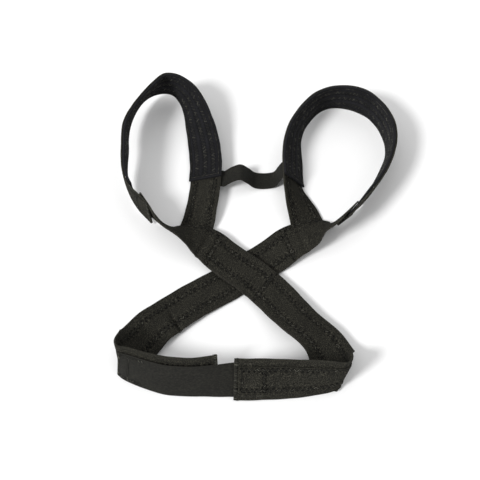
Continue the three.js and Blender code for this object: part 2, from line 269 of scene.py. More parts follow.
def makeLining():
    cloth = Cloth("lining")
    vector, along, across, nearEdge = cloth.place()
    wale = (across * (2 * math.pi / liningFinish["loop"])).sine()
    course = (along * (2 * math.pi / liningFinish["loop"]) + wale * 0.8).sine()
    loops = (wale * course) * 0.5 + 0.5
    nap = cloth.noise(vector, 1, 4.0, 0.65, liningFinish["nap"])
    rubbed = cloth.noise(vector, 1, 3.0, 0.5, liningFinish["rubbed"])
    height = loops * 0.6 + nap * 0.6
    shade = nap * 0.7 + loops * 0.25 + rubbed * 0.4 - 0.3
    colour = cloth.mix(shade.step(0.0, 0.9), liningFinish["dark"], liningFinish["light"])
    # Painted shade: the needle holes darkened towards the hole colour.
    colour = cloth.mix(cloth.holeShade() * 1.6, colour, liningFinish["hole"])
    roughness = 0.86 + nap * 0.12 - nearEdge.step(0.8, 0.95) * 0.06
    fixed = {"Specular IOR Level": liningFinish["gloss"], "Sheen Weight": liningFinish["sheen"],
             "Sheen Roughness": 0.5}
    return cloth.finish(colour, roughness, height, liningFinish["relief"], fixed)


elasticFinish = {"dark": tone(15, 15, 13), "light": tone(41, 40, 35), "pick": 0.0009, "rubber": 0.0014,
                 "relief": 0.00018, "gloss": 0.18, "yarn": (420, 900, 1), "blotch": (35, 60, 1)}


def makeElastic():
    cloth = Cloth("elastic")
    vector, along, across, nearEdge = cloth.place()
    pick = (along * (2 * math.pi / elasticFinish["pick"])).sine() * 0.5 + 0.5
    rubber = (across * (math.pi / elasticFinish["rubber"])).sine().size()
    yarn = cloth.noise(vector, 1, 2.0, 0.6, elasticFinish["yarn"])
    blotch = cloth.noise(vector, 1, 2.0, 0.5, elasticFinish["blotch"])
    height = rubber * 0.6 + pick * 0.4 + yarn * 0.2
    shade = yarn.step(0.35, 0.7) * 0.5 + blotch * 0.4 + rubber * pick * 0.3 - 0.1
    colour = cloth.mix(shade.step(0.0, 1.0), elasticFinish["dark"], elasticFinish["light"])
    colour = cloth.mix(nearEdge.step(0.94, 1.0) * 0.4, colour, elasticFinish["light"])
    # Painted shade: the needle holes darkened towards the dark colour.
    colour = cloth.mix(cloth.holeShade(), colour, elasticFinish["dark"])
    roughness = 0.7 + yarn * 0.2
    fixed = {"Specular IOR Level": elasticFinish["gloss"]}
    return cloth.finish(colour, roughness, height, elasticFinish["relief"], fixed)


hookFinish = {"dark": tone(22, 22, 25), "light": tone(52, 52, 58), "pitch": 0.0012, "relief": 0.0005,
              "gloss": 0.4, "fray": (1200, 1200, 1)}


def makeHookTape():
    cloth = Cloth("hookTape")
    vector, along, across, _ = cloth.place()
    rows = (along * (math.pi / hookFinish["pitch"])).sine().size()
    stems = (across * (math.pi / hookFinish["pitch"])).sine().size()
    stem = (rows * stems).step(0.45, 0.85)
    fray = cloth.noise(vector, 1, 2.0, 0.6, hookFinish["fray"])
    colour = cloth.mix(stem * 0.7 + fray * 0.3, hookFinish["dark"], hookFinish["light"])
    roughness = 0.45 + fray * 0.25
    fixed = {"Specular IOR Level": hookFinish["gloss"]}
    return cloth.finish(colour, roughness, stem + fray * 0.2, hookFinish["relief"], fixed)


# light is the painted glint: the colour that a few stitches are lightened to.
threadFinish = {"dark": tone(17, 17, 15), "light": tone(96, 95, 86), "ply": 0.0007, "relief": 0.00012,
                "gloss": 0.2}


def makeThread():
    cloth = Cloth("thread")
    _, along, around, paintedGlint = cloth.place()
    ply = ((along / threadFinish["ply"] + around) * (2 * math.pi)).sine() * 0.5 + 0.5
    # Painted highlight: a few stitches, picked at random, painted much lighter as glints on the glossy
    # thread.
    shade = ply * 0.15 + paintedGlint * paintedGlint * paintedGlint * paintedGlint * 0.85
    colour = cloth.mix(shade, threadFinish["dark"], threadFinish["light"])
    roughness = 0.6 + ply * 0.12
    fixed = {"Specular IOR Level": threadFinish["gloss"]}
    return cloth.finish(colour, roughness, ply, threadFinish["relief"], fixed)


webbing = makeWebbing()
lining = makeLining()
elastic = makeElastic()
hookTape = makeHookTape()
thread = makeThread()
print("materials made")


# How a strap runs.
class SmoothCurve:  # through its points, asked by place, which is 0 at the first and 1 at the next
    def __init__(self, points):
        given = np.asarray(points, float)
        self.last = len(given) - 1
        self.points = np.vstack([2 * given[0] - given[1], given, 2 * given[-1] - given[-2]])

    def around(self, places):  # how far past its point each place is, and the four terms of the curve
        places = np.clip(np.asarray(places, float), 0, self.last)
        index = np.minimum(places.astype(int), self.last - 1)
        a, b, c, d = [self.points[index + k] for k in range(4)]
        return (places - index)[:, None], 2 * b, c - a, 2 * a - 5 * b + 4 * c - d, 3 * b - 3 * c + d - a

    def at(self, places):
        f, level, slope, square, cube = self.around(places)
        return 0.5 * (level + slope * f + square * f**2 + cube * f**3)

    def heading(self, places):
        f, _, slope, square, cube = self.around(places)
        ahead = slope + 2 * square * f + 3 * cube * f**2
        return ahead / np.linalg.norm(ahead, axis=1)[:, None]


def stationsOf(rows, size, hand):  # middles and directions across, as in the solids
    table = np.array(rows, float)
    plan = SmoothCurve(table[:, :2] * (body["halfWidth"], body["halfLength"]))
    stance = SmoothCurve(table[:, 2:] * (1, size["width"]))
    places = np.arange((len(rows) - 1) * body["stepsPerRow"] + 1) / body["stepsPerRow"]
    heading = plan.heading(places)
    roll, lift = stance.at(places).T
    lean = np.radians(roll)
    level, upright = np.cos(lean), np.sin(lean)
    across = np.column_stack([heading[:, 1] * upright, -heading[:, 0] * upright, hand * level])
    half = (size["width"] * abs(level) + size["thickness"] * abs(upright)) / 2
    return np.column_stack([plan.at(places), np.maximum(lift, 0) + half]), across * hand


class Strap:  # a strap through its stations, measured from its start in metres
    def __init__(self, middles, acrosses, hand, shares=None, softened=2):
        middles, acrosses = np.array(middles, float), np.array(acrosses, float)
        for _ in range(softened):
            for line in (middles, acrosses):
                line[1:-1] = line[1:-1] / 2 + (line[:-2] + line[2:]) / 4
        self.hand = hand
        self.middles = SmoothCurve(middles)
        self.acrosses = SmoothCurve(acrosses)
        self.last = self.middles.last
        self.shares = np.ones(self.last + 1) if shares is None else np.asarray(shares, float)
        self.fine = np.linspace(0, self.last, self.last * body["finePerStation"] + 1)
        steps = np.linalg.norm(np.diff(self.middles.at(self.fine), axis=0), axis=1)
        self.metres = np.concatenate([[0], np.cumsum(steps)])
        self.length = self.metres[-1]

    def run(self, place):
        return np.interp(place, self.fine, self.metres)

    def frames(self, run):
        places = np.interp(run, self.metres, self.fine)
        middle = self.middles.at(places)
        along = self.middles.heading(places)
        across = self.acrosses.at(places)
        across = across - along * np.sum(across * along, axis=1)[:, None]
        across /= np.linalg.norm(across, axis=1)[:, None]
        wearer = np.cross(across, along) * self.hand
        share = np.interp(places, np.arange(self.last + 1), self.shares)
        return middle, across, wearer, share

    def points(self, run, reach, outward):  # where a place on the strap is, and the wearer's direction
        middle, across, wearer, share = self.frames(run.ravel())
        reach, outward = reach.ravel(), outward.ravel()
        point = middle + across * (reach * share)[:, None] + wearer * outward[:, None]
        return point.reshape(*run.shape, 3), wearer.reshape(*run.shape, 3)

    def stations(self, places, towardsWearer):
        middle, across, wearer, share = self.frames(self.run(np.asarray(places, float)))
        return middle + wearer * towardsWearer, across, wearer


def layered(one, other):
    return one["thickness"] / 2 + body["layerGap"] + other["thickness"] / 2


def loopStrap(rows, hand):
    return Strap(*stationsOf(rows, shoulder, hand), hand)


def crossStrap(loop, tab, rows, hand):  # starts inside the tab, narrower, then runs on its own
    tabMiddles, tabAcrosses, _ = loop.stations(tab, layered(shoulder, armPatch) + layered(armPatch, cross))
    middles, acrosses = stationsOf(rows, cross, hand)
    shares = [cross["tabEnd"] / cross["width"]] * len(tab) + [1] * len(middles)
    return Strap(np.vstack([tabMiddles, middles]), np.vstack([tabAcrosses, acrosses]), hand, shares,
                 cross["softened"])


def standing(middle, across, wearer, size):  # slid along the width until the lower edge is down
    height = (size["width"] * abs(across[:, 2]) + size["thickness"] * abs(wearer[:, 2])) / 2
    return middle + across * ((height - middle[:, 2]) / across[:, 2])[:, None], across


# Places on the cross straps: where the elastic is sewn on, and where the belt end is fastened over it.
beltPlaces = {"sewn": (63, 69), "seam": 72, "end": 78}


def elasticStrap(left, right):
    first, last = beltPlaces["sewn"]
    sewn = standing(*right.stations(range(first, last + 1), -layered(cross, belt)), belt)
    free = stationsOf(elasticRows, belt, -1)
    covered = range(beltPlaces["end"], beltPlaces["seam"] - 1, -1)
    hooked = left.stations(covered, layered(cross, beltPatch) + layered(beltPatch, belt))
    hooked = standing(*hooked, belt)
    return Strap(*[np.vstack(parts) for parts in zip(sewn, free, hooked)], -1)


neckRun = {"overlap": 0.009, "wave": 0.024, "leftPlace": 12, "rightPlace": 15}


def neckSeat(loop, place, comesOff):  # the end sewn to a shoulder strap, free from comesOff on
    middle, across, wearer, _ = [part[0] for part in loop.frames(loop.run(np.array([float(place)])))]
    along = loop.middles.heading([float(place)])[0]
    sewn = layered(shoulder, neck)
    reaches = [(comesOff - neckRun["overlap"], sewn), (comesOff, sewn),
               (comesOff + 2 * neck["thickness"], sewn + neck["thickness"])]
    return [middle + across * reach - wearer * outward for reach, outward in reaches], [along] * 3


def neckStrap(leftLoop, rightLoop):
    leftMiddles, leftAcrosses = neckSeat(leftLoop, neckRun["leftPlace"], shoulder["width"] / 2)
    rightMiddles, rightAcrosses = neckSeat(rightLoop, neckRun["rightPlace"], 0)
    waves, turns = [], []
    for share, height in neckRows:
        point = leftMiddles[2] * (1 - share) + rightMiddles[2] * share
        waves.append([point[0], point[1], height * neckRun["wave"]])
        turns.append(leftAcrosses[2] * (1 - share) + rightAcrosses[2] * share)
    middles, acrosses = leftMiddles + waves + rightMiddles[::-1], leftAcrosses + turns + rightAcrosses
    return Strap(middles, acrosses, -1, softened=0)


loops = {"left": loopStrap(loopRowsLeft, 1), "right": loopStrap(loopRowsRight, -1)}
tabs = {"left": (66, 67.5, 69), "right": (69, 70.5, 72)}
straps = {"left": crossStrap(loops["left"], tabs["left"], crossRowsLeft, 1),
          "right": crossStrap(loops["right"], tabs["right"], crossRowsRight, -1)}
beltRun = elasticStrap(straps["left"], straps["right"])
neckLine = neckStrap(loops["left"], loops["right"])
print("routes ready: loops", [round(loop.length, 3) for loop in loops.values()],
      "cross straps", [round(strap.length, 3) for strap in straps.values()],
      "elastic", round(beltRun.length, 3), "neck", round(neckLine.length, 3))


# How a band is made.
needleHole = {"zigzag": 0.0011, "plain": 0.0009, "dent": 0.0003, "groove": 0.0012, "grooveShare": 0.45}


class Row:  # one row of stitches on a strap, from (run, reach) to (run, reach); straight where width is 0
    def __init__(self, start, end, width, pitch, depth=0.0002, gap=0.0):
        (self.run, self.reach), (endRun, endReach) = start, end
        size = math.hypot(endRun - self.run, endReach - self.reach)
        self.way = ((endRun - self.run) / size, (endReach - self.reach) / size)
        self.count = max(2, round(size / (pitch / 2 if width else pitch)))
        self.step = size / self.count
        self.width, self.depth, self.gap = width, depth, gap
        self.holeSize = needleHole["zigzag" if width else "plain"]
        self.groove = needleHole["groove"] + width * needleHole["grooveShare"]

    def needles(self):  # run and reach of every needle hole
        index = np.arange(self.count + 1)
        sway = (index % 2 - 0.5) * self.width
        run = self.run + self.way[0] * self.step * index - self.way[1] * sway
        return run, self.reach + self.way[1] * self.step * index + self.way[0] * sway

    def near(self, run, reach):  # 1 at a needle hole, and 1 on the line of the row
        ahead = (run - self.run) * self.way[0] + (reach - self.reach) * self.way[1]
        aside = (reach - self.reach) * self.way[0] - (run - self.run) * self.way[1]
        size = self.step * self.count
        over = np.maximum(np.maximum(-ahead, ahead - size), 0)
        line = np.exp(-((np.hypot(aside, over) / self.groove) ** 2))
        index = np.clip(np.round(ahead / self.step), 0, self.count)
        hole = 0
        for shift in (-1, 0, 1):
            k = np.clip(index + shift, 0, self.count)
            gap = np.hypot(ahead - k * self.step, aside - (k % 2 - 0.5) * self.width)
            hole = np.maximum(hole, np.exp(-((gap / self.holeSize) ** 2)))
        return hole, line


plainSewing = {"stitch": 0.0028, "gap": 0.06, "depth": 0.0001}


def plainRow(start, end):
    return Row(start, end, 0.0, plainSewing["stitch"], plainSewing["depth"], plainSewing["gap"])


handling = {"phase": 1.7, "shortWave": (310, 160), "longWave": (127, 90)}  # waves in radians to the metre


class Relief:  # dents along rows of stitches, folds, and gentle unevenness
    def __init__(self, seed=0, uneven=0.00012):
        self.rows, self.folds = [], []
        self.seed = seed
        self.uneven = uneven

    def sewn(self, *rows):
        self.rows.extend(rows)
        return rows

    def fold(self, run, slant, depth, half, centre=0.0, spread=0.1):  # a crease across, run at the middle
        self.folds.append((run, slant, depth, half, centre, spread))

    def bend(self, run, reach):  # how far the whole cloth is moved towards the wearer
        height = np.zeros(run.shape)
        for at, slant, depth, half, centre, spread in self.folds:
            ahead = run - at - slant * reach / (cross["width"] / 2)
            height -= depth * np.exp(-((ahead / half) ** 2)) * np.exp(-(((reach - centre) / spread) ** 2))
        return height

    def holeShade(self, run, reach):
        holes = [row.near(run, reach)[0] for row in self.rows]
        return np.max(holes, axis=0) if holes else np.zeros(run.shape)

    def depth(self, run, reach, side):
        height = np.zeros(run.shape)
        for row in self.rows:
            hole, line = row.near(run, reach)
            height = np.minimum(height, -(row.depth * line + (needleHole["dent"] + row.depth) * hole))
        phase = self.seed * handling["phase"]
        short, long = handling["shortWave"], handling["longWave"]
        wave = np.sin(run * short[0] + phase) * np.cos(reach * short[1] + phase * 2)
        wave = wave + np.sin(run * long[0] + reach * long[1] + phase)
        return height + side * self.bend(run, reach) + wave * self.uneven * 0.5


def linkMesh(name, verts, faces, places, material, holeShade=None):
    mesh = bpy.data.meshes.new(name)
    mesh.from_pydata((np.asarray(verts) + body["origin"]).tolist(), [], faces)
    mesh.materials.append(material)
    mesh.polygons.foreach_set("use_smooth", [True] * len(mesh.polygons))
    data = mesh.attributes.new("clothPlace", "FLOAT_VECTOR", "POINT")
    data.data.foreach_set("vector", np.asarray(places, np.float32).ravel())
    if holeShade is not None:
        data = mesh.attributes.new("holeShade", "FLOAT", "POINT")
        data.data.foreach_set("value", np.asarray(holeShade, np.float32).ravel())
    piece = bpy.data.objects.new(name, mesh)
    bpy.context.scene.collection.objects.link(piece)
    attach(piece, "root")
    return piece


# Measures of a band's mesh, in metres; besideRow is in widths of the row.
band = {"spacing": 0.0009, "columns": 16, "edgeDepth": 0.0006, "wander": 0.00022, "wanderWaves": (95, 233),
        "corner": (58, 20, -20, -58),  # degrees round the edge
        "besideRow": (-0.9, -0.5, -0.2, 0.2, 0.5, 0.9), "edgeRoom": 0.0002, "columnRoom": 0.0006,
        "endStep": 0.0004, "endInset": 0.45, "edgeRelief": 0.3,
        "faceShift": 0.3}  # metres that each face's places are moved, so that their yarns differ


def bandSection(size, columns, edgeDepth, rows):  # across, through and side, round from the wearer's face
    w, t = size["width"] / 2, size["thickness"] / 2
    edge = w - edgeDepth
    lengthwise = [row for row in rows if abs(row.way[0]) > 0.9]
    closer = [row.reach + row.width * share for row in lengthwise for share in band["besideRow"]]
    closer = [reach for reach in closer if abs(reach) < edge - band["edgeRoom"]]
    kept = [reach for reach in np.linspace(-edge, edge, columns)[1:-1]
            if all(abs(reach - other) > band["columnRoom"] for other in closer)]
    flat = np.unique(np.round([-edge, *closer, *kept, edge], 5))
    columns = len(flat)
    bend = np.radians(band["corner"])
    edgeAcross = edge + edgeDepth * np.cos(bend)
    across = np.concatenate([flat, edgeAcross, flat[::-1], -edgeAcross])
    corner = t * np.sin(bend)
    through = np.concatenate([np.full(columns, t), corner, np.full(columns, -t), -corner])
    side = np.concatenate([np.ones(columns), np.zeros(4), -np.ones(columns), np.zeros(4)])
    return across, through, side


def ringFaces(rings, count):  # a tube's quads and its two ends
    faces = []
    for ring in range(rings - 1):
        for k in range(count):
            here, turned = ring * count + k, ring * count + (k + 1) % count
            faces.append((here, turned, turned + count, here + count))
    faces.append(tuple(range(count))[::-1])
    faces.append(tuple((rings - 1) * count + k for k in range(count)))
    return faces


def bandPiece(name, node, strap, size, start, end, shift, relief, material, slot, columns=band["columns"],
              spacing=band["spacing"], edgeDepth=band["edgeDepth"], wander=band["wander"], profile=None):
    across, through, side = bandSection(size, columns, edgeDepth, relief.rows)
    inner = np.linspace(start, end, max(3, int((end - start) / spacing)) + 1)
    run = np.concatenate([[start], inner, [end]])
    run[1] += band["endStep"]
    run[-2] -= band["endStep"]
    inset = np.ones((len(run), 1))
    inset[[0, -1]] = band["endInset"]
    s, a = np.meshgrid(run, across, indexing="ij")
    bumpy = np.where(side == 0, band["edgeRelief"], 1.0) * inset
    lift = profile(s, a) * np.maximum(side, 0) * inset if profile else 0
    outward = through * inset + np.where(side >= 0, 1, -1) * relief.depth(s, a, side) * bumpy + lift
    near = np.abs(a) / (size["width"] / 2)
    first, second = band["wanderWaves"]
    drift = wander * (np.sin(s * first + relief.seed) + 0.6 * np.sin(s * second + relief.seed * 3))
    points, _ = strap.points(s, a + drift * near, outward + shift)
    faces = ringFaces(len(run), len(across))
    if strap.hand < 0:
        faces = [face[::-1] for face in faces]
    endNear = 1 - np.minimum(s - start, end - s) / (size["width"] / 2)
    places = np.stack([s, a + side * band["faceShift"], np.maximum(near, endNear)], axis=-1)
    holeShade = relief.holeShade(s, a) * (side != 0)
    piece = linkMesh(name, points.reshape(-1, 3), faces, places.reshape(-1, 3), material, holeShade)
    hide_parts(node)
    return piece


def sheetPiece(name, node, strap, size, start, end, *others, held="laid", **options):
    piece = bandPiece(name, node, strap, size, start, end, *others, **options)


# How stitches are made.
stitch = {"radius": 0.00027, "sides": 6, "tip": 0.6, "scatter": 0.0001, "bridge": 0.12,
          "rise": (-0.9, 0.5, 1.0, 0.5, -0.9), "sink": (1, 0.6, 0.6, 0.6, 1)}
overcastLoop = {"spacing": 0.0013, "bite": 0.003, "radius": 0.00028, "past": 0.0007, "scatter": 0.00015,
                "turn": (0.0, 0.35, 0.8, 1.0, 0.8, 0.35, 0.0),
                "through": (0.75, 1.0, 0.95, 0.0, -0.95, -1.0, -0.75),
                "slant": (-1, -0.6, -0.2, 0.0, 0.2, 0.6, 1), "slantShare": 0.8, "biteRange": (0.75, 1.2)}


class Sewing:  # many short lengths of thread, joined in one mesh
    def __init__(self, seed):
        self.verts, self.faces, self.places, self.count = [], [], [], 0
        self.random = np.random.default_rng(seed)

    def tubes(self, points, normals, radius):
        number, rings = points.shape[:2]
        sides = stitch["sides"]
        along = np.gradient(points, axis=1)
        along /= np.linalg.norm(along, axis=2)[..., None]
        beside = np.cross(along, normals)
        beside /= np.linalg.norm(beside, axis=2)[..., None]
        above = np.cross(beside, along)
        turn = np.arange(sides) / sides * 2 * math.pi
        ring = beside[..., None, :] * np.cos(turn)[:, None] + above[..., None, :] * np.sin(turn)[:, None]
        taper = np.full(rings, radius)
        taper[[0, -1]] *= stitch["tip"]
        verts = points[..., None, :] + ring * taper[None, :, None, None]
        length = np.linalg.norm(points[:, -1] - points[:, 0], axis=1)
        # How much each stitch is lightened by the painted glint, at random.
        paintedGlint = self.random.random(number)
        shape = (number, rings, sides)
        u = np.broadcast_to((np.linspace(0, 1, rings)[None, :] * length[:, None])[..., None], shape)
        v = np.broadcast_to((np.arange(sides) / sides)[None, None, :], shape)
        places = np.stack([u, v, np.broadcast_to(paintedGlint[:, None, None], shape)], axis=-1)
        tube = ringFaces(rings, sides)
        for item in range(number):
            base = self.count + item * rings * sides
            self.faces.extend(tuple(base + corner for corner in face) for face in tube)
        self.verts.append(verts.reshape(-1, 3))
        self.places.append(places.reshape(-1, 3))
        self.count += number * rings * sides

    def row(self, strap, row, level, side, ground, radius=stitch["radius"]):
        run, reach = row.needles()
        run = run + self.random.normal(0, stitch["scatter"], len(run))
        reach = reach + self.random.normal(0, stitch["scatter"], len(run))
        bridge = stitch["bridge"] + row.gap * 0.7
        share = np.array([row.gap, bridge, 0.5, 1 - bridge, 1 - row.gap])
        run = run[:-1, None] * (1 - share) + run[1:, None] * share
        reach = reach[:-1, None] * (1 - share) + reach[1:, None] * share
        lie = ground(run, reach, side)[:, [0, 2, 2, 2, 4]] * stitch["sink"]
        points, wearer = strap.points(run, reach, level + side * (lie + np.array(stitch["rise"]) * radius))
        self.tubes(points, wearer * side, radius)

    def overcast(self, strap, at, forward, half, levels, spacing=overcastLoop["spacing"],
                 bite=overcastLoop["bite"]):  # loops round a cut end, from the one face to the other
        radius = overcastLoop["radius"]
        count = int(2 * half / spacing)
        low, high = levels
        middle = (low + high) / 2
        thick = (high - low) / 2 + radius
        bites = bite * self.random.uniform(*overcastLoop["biteRange"], count)[:, None]
        run = at + forward * (np.array(overcastLoop["turn"]) * (bites + overcastLoop["past"]) - bites)
        slant = np.array(overcastLoop["slant"]) * spacing * overcastLoop["slantShare"]
        scatter = self.random.normal(0, overcastLoop["scatter"], count)
        reach = np.linspace(-half, half, count)[:, None] + slant + scatter[:, None]
        outward = middle + thick * np.broadcast_to(overcastLoop["through"], run.shape)
        points, _ = strap.points(run, reach, outward)
        centre, _ = strap.points(run * 0 + at - forward * bite / 2, reach, outward * 0 + middle)
        self.tubes(points, points - centre, radius)

    def link(self, name, slot="webbing"):
        piece = linkMesh(name, np.vstack(self.verts), self.faces, np.vstack(self.places), thread)
        print(name, len(piece.data.polygons), "faces")


# Shoulder straps and their pads.
shoulderSewing = {"rows": (-0.0125, 0.0125), "zigzag": 0.0026, "pitch": 0.005, "spacing": 0.0008,
                  "start": 0.004, "padGap": 0.002, "boxInset": 0.003, "boxEnd": 0.005,
                  "overcastInset": 0.001}
padSewing = {"rows": (-0.011, 0.0, 0.0105), "zigzag": 0.0046, "pitch": 0.0048, "rowInset": 0.005,
             "channelEdge": 0.0185, "bulge": 0.0008, "rounding": 0.8, "inwards": 0.004, "sunk": 0.0005,
             "waves": ((0.18, 210, 0), (0.12, 470, 200)),  # share, and radians to the metre along and across
             "binding": 0.0045, "bindingRise": 0.00045, "bindingRound": 0.0008, "bindingSeam": 0.0033,
             "seamStart": 0.003, "endSeam": 0.0035, "thread": 0.00028, "boundThread": 0.00024,
             "columns": 24, "edgeDepth": 0.001, "uneven": 0.0001, "fill": 0.35}
padPlaces = {"left": (12, 63), "right": (12, 66)}
seeds = {"left": 1, "right": 2}


def padProfile(start, end):  # soft channels between the rows of stitches, with a bound edge all round
    rows = np.array([-padSewing["channelEdge"], *padSewing["rows"], padSewing["channelEdge"]])

    def lift(run, reach):
        index = np.clip(np.searchsorted(rows, reach) - 1, 0, len(rows) - 2)
        share = np.clip((reach - rows[index]) / (rows[index + 1] - rows[index]), 0, 1)
        swell = np.sin(share * math.pi) ** padSewing["rounding"] * padSewing["bulge"]
        swell = swell * (1 + sum(size * np.sin(run * along + reach * across)
                                 for size, along, across in padSewing["waves"]))
        fromEdge = np.minimum(np.minimum(run - start, end - run), pad["width"] / 2 - np.abs(reach))
        bound = np.clip((padSewing["binding"] - fromEdge) / padSewing["bindingRound"], 0, 1)
        inside = np.clip((fromEdge - padSewing["binding"]) / padSewing["inwards"], 0, 1)
        return swell * inside + bound * padSewing["bindingRise"] - padSewing["sunk"]
    return lift


def alongRows(style, start, end, *depth):
    return [Row((start, reach), (end, reach), style["zigzag"], style["pitch"], *depth)
            for reach in style["rows"]]


def makeShoulder(side):  # two rows before and after the pad, the pad's rows through both, a box on the tab
    loop, seed = loops[side], seeds[side]
    padStart, padEnd = [float(loop.run(place)) for place in padPlaces[side]]
    tabStart, tabEnd = float(loop.run(tabs[side][0])), float(loop.run(tabs[side][-1]))
    relief = Relief(seed)
    gap = shoulderSewing["padGap"]
    edges = relief.sewn(*alongRows(shoulderSewing, shoulderSewing["start"], padStart - gap),
                        *alongRows(shoulderSewing, padEnd + gap, tabStart))
    inset = padSewing["rowInset"]
    through = relief.sewn(*alongRows(padSewing, padStart + inset, padEnd - inset))
    inset = shoulderSewing["boxInset"]
    half = shoulder["width"] / 2 - inset
    boxStart, boxEnd = tabStart - inset, tabEnd - shoulderSewing["boxEnd"]
    box = relief.sewn(plainRow((boxStart, -half), (boxEnd, -half)),
                      plainRow((boxStart, half), (boxEnd, half)),
                      plainRow((boxStart, -half), (boxStart, half)))
    sheetPiece(f"shoulderStrap_{side}", f"shoulder_strap_{side}", loop, shoulder, 0, loop.length, 0, relief,
               webbing, "webbing", spacing=shoulderSewing["spacing"])
    sewing = Sewing(10 + seed)
    face = shoulder["thickness"] / 2
    for row in edges:
        sewing.row(loop, row, face, 1, relief.depth)
    for row in (*edges, *through, *box):
        sewing.row(loop, row, -face, -1, relief.depth)
    sewing.overcast(loop, tabEnd, 1, shoulder["width"] / 2 - shoulderSewing["overcastInset"], (-face, face))
    makePad(side, padStart, padEnd, through, sewing)
    sewing.link(f"shoulderStitches_{side}")


def makePad(side, start, end, through, sewing):
    loop, shift = loops[side], layered(shoulder, pad)
    relief = Relief(seeds[side] + 4, padSewing["uneven"])
    relief.sewn(*through)
    seam = pad["width"] / 2 - padSewing["bindingSeam"]
    first, last = start + padSewing["seamStart"], end - padSewing["seamStart"]
    bound = relief.sewn(*[plainRow((first, reach), (last, reach)) for reach in (-seam, seam)],
                        *[plainRow((run, -seam), (run, seam))
                          for run in (start + padSewing["endSeam"], end - padSewing["endSeam"])])
    profile = padProfile(start, end)
    piece = bandPiece(f"shoulderPad_{side}", f"shoulder_pad_{side}", loop, pad, start, end, shift, relief,
                      lining, "lining", columns=padSewing["columns"], edgeDepth=padSewing["edgeDepth"],
                      profile=profile)

    def ground(run, reach, side):
        return profile(run, reach) + relief.depth(run, reach, side)

    for row in (*through, *bound):
        radius = padSewing["thread" if row.width else "boundThread"]
        sewing.row(loop, row, shift + pad["thickness"] / 2, 1, ground, radius)


def makeTabPatch(side):  # fastening patch inside the tab
    loop = loops[side]
    start, end = float(loop.run(tabs[side][0])), float(loop.run(tabs[side][-1] - 0.5))
    sheetPiece(f"armHookPatch_{side}", f"arm_hook_patch_{side}", loop, armPatch, start, end,
               layered(shoulder, armPatch), Relief(seeds[side], 0), hookTape, "hook_tape", wander=0)


# Cross straps with the stay bands on their outer faces. Places count along the strap; a seam is a place
# and a slant; a fold is a place, slant, depth, half width, and where across it lies and how far it spreads.
crossSewing = {"rows": (-0.012, 0.012), "zigzag": 0.0026, "pitch": 0.0056, "spacing": 0.0008, "columns": 18,
               "endInset": 0.003, "junctionInset": 0.0034, "junctionDepth": 0.0003,
               "seamWidth": 0.0036, "seamReach": 0.0215, "seamDepth": 0.0005,
               "overcastInset": 0.001, "overcastSpacing": 0.0012, "overcastBite": 0.0045}
staySewing = {"columns": 14, "edgeDepth": 0.0004, "uneven": 0.00006, "depth": 0.0001, "endInset": 0.003,
              "endRow": 0.004, "endReach": 0.0125, "beltReach": 0.0135, "beltEdge": 0.0185,
              "beltInset": 0.005}
crossMarks = {
    "left": {"stay": (27, 77), "junction": (9, 17.5), "rowStart": 18.6,
             "seams": ((27.3, 0.005), (18.6, 0.0065)),
             "folds": ((16.3, 0.006, 0.0018, 0.003), (17.6, 0.006, -0.0006, 0.004),
                       (25.8, 0.004, 0.0018, 0.0045, 0.008, 0.018))},
    "right": {"stay": (39, 57), "junction": (9, 17.5), "rowStart": 18.4, "seams": ((18.4, 0.0055),),
              "folds": ((40.0, 0.0066, 0.0038, 0.0024, 0.014, 0.014),
                        (41.6, 0.0066, -0.0008, 0.004, 0.01, 0.016),
                        (15.5, 0.006, 0.0012, 0.004), (12.2, 0.012, 0.0012, 0.0035, 0.0, 0.016))}}


def seamRow(run, slant):
    reach = crossSewing["seamReach"]
    return Row((run - slant, -reach), (run + slant, reach), crossSewing["seamWidth"], crossSewing["pitch"],
               crossSewing["seamDepth"])


def makeCross(side):
    strap, mark = straps[side], crossMarks[side]
    relief = Relief(seeds[side] + 7)
    width, pitch = crossSewing["zigzag"], crossSewing["pitch"]
    start, end = [float(strap.run(place)) for place in mark["junction"]]
    edge = cross["width"] / 2 - crossSewing["junctionInset"]
    seams = relief.sewn(*[seamRow(float(strap.run(place)), slant) for place, slant in mark["seams"]],
                        Row((start, -edge), (end, -edge), width, pitch, crossSewing["junctionDepth"]))
    for place, *crease in mark["folds"]:
        relief.fold(float(strap.run(place)), *crease)
    rowStart = float(strap.run(mark["rowStart"]))
    inner = relief.sewn(*alongRows(crossSewing, rowStart, strap.length - crossSewing["endInset"]))
    sheetPiece(f"crossStrap_{side}", f"cross_strap_{side}", strap, cross, 0, strap.length, 0, relief,
               webbing, "webbing", columns=crossSewing["columns"], spacing=crossSewing["spacing"])
    sewing = Sewing(20 + seeds[side])
    face = cross["thickness"] / 2
    for row in (*seams, *inner):
        sewing.row(strap, row, face, 1, relief.depth)
    for row in seams:
        sewing.row(strap, row, -face, -1, relief.depth)
    if side == "left":  # the belt end, sewn down along both edges past its seam
        for reach in (-staySewing["beltEdge"], staySewing["beltEdge"]):
            row = plainRow((beltSeam, reach), (strap.length - staySewing["beltInset"], reach))
            sewing.row(strap, row, -face, -1, relief.depth)
    makeStay(side, sewing)
    sewing.overcast(strap, strap.length, 1, cross["width"] / 2 - crossSewing["overcastInset"], (-face, face),
                    crossSewing["overcastSpacing"], crossSewing["overcastBite"])
    sewing.link(f"crossStitches_{side}")


